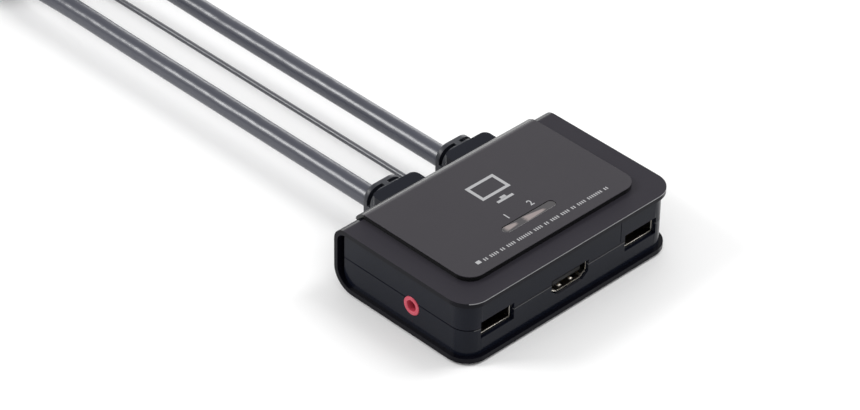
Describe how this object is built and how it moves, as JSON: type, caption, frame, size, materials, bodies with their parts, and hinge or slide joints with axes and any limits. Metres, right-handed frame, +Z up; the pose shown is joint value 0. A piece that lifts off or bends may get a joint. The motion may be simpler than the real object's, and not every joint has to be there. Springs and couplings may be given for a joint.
{
  "type": "kvm switch",
  "caption": "Compact black KVM switch with raised top panel, front USB and HDMI sockets, side audio jack, cables leaving through rear strain reliefs, and a wired push-button remote.",
  "frame": {"origin": "bottom centre of the box round the case without its cables: on the table under the rubber feet, midway between the cover's front edge and the rear of the cable bosses", "axes": "+Z up; +Y from the front sockets to the rear, the way the cables leave; +X to the right seen from the front"},
  "size_m": [0.1034, 0.4055, 0.0312],
  "materials": {
    "cover": "satin black",
    "panel": "satin dark grey",
    "lens": "clear",
    "clear_plastic": "translucent",
    "shell": "gloss blue-black",
    "board": "glass-fibre with solder mask",
    "chip": "matt moulded",
    "tin": "satin",
    "led": "clear",
    "ivory_plastic": "satin",
    "steel": "bright nickel plate",
    "gold": "bright gold plate",
    "black_plastic": "fine texture",
    "pink_plastic": "gloss",
    "black_rubber": "matt",
    "grey_rubber": "satin blue-grey",
    "wire": "insulated wire",
    "cable_jacket": "satin blue-grey",
    "thin_jacket": "satin",
    "strap": "woven hook and loop",
    "plug_grip": "fine texture",
    "grey_plastic": "satin"
  },
  "bodies": {
    "case": {"outer_cover": "cover", "top_panel": "panel", "window_lens": "lens", "light_guides": "clear_plastic", "upper_shell": "shell", "lower_shell": "shell", "circuit_board": "board", "switch_chips": "chip", "capacitors": "tin", "port_leds": "led", "board_headers": "ivory_plastic", "usb_shell_left": "steel", "usb_shell_right": "steel", "usb_tongues": "black_plastic", "usb_contacts": "gold", "hdmi_shell": "steel", "hdmi_tongue": "black_plastic", "hdmi_contacts": "gold", "audio_jack_body": "black_plastic", "audio_jack_ring": "pink_plastic", "housing_screws": "steel", "rubber_feet": "black_rubber", "gland_left": "grey_rubber", "gland_right": "grey_rubber", "remote_grommet": "black_rubber", "inner_wires": "wire", "cable_left": "cable_jacket", "cable_right": "cable_jacket", "hank_left": "cable_jacket", "hank_right": "cable_jacket", "tie_left": "strap", "tie_right": "strap", "hdmi_grip_left": "plug_grip", "hdmi_grip_right": "plug_grip", "hdmi_plug_left": "gold", "hdmi_plug_right": "gold", "usb_lead_left": "black_rubber", "usb_lead_right": "black_rubber", "usb_grip_left": "plug_grip", "usb_grip_right": "plug_grip", "usb_plug_left": "steel", "usb_plug_right": "steel", "remote_cable": "thin_jacket", "remote_hank": "thin_jacket", "remote_tie": "strap", "remote_base": "black_plastic", "remote_cover": "black_plastic", "remote_board": "board", "remote_dome": "clear_plastic", "remote_screws": "steel", "remote_pad": "black_rubber"},
    "button": {"remote_button": "grey_plastic"}
  },
  "joints": [
    {"name": "button_press", "type": "slide", "parent": "case", "child": "button", "axis": [0, 0, -1], "range_m": [0, 0.001], "stiffness_N_per_m": 900, "springref_m": -0.0006, "deforming": ["remote_dome"]}
  ]
}
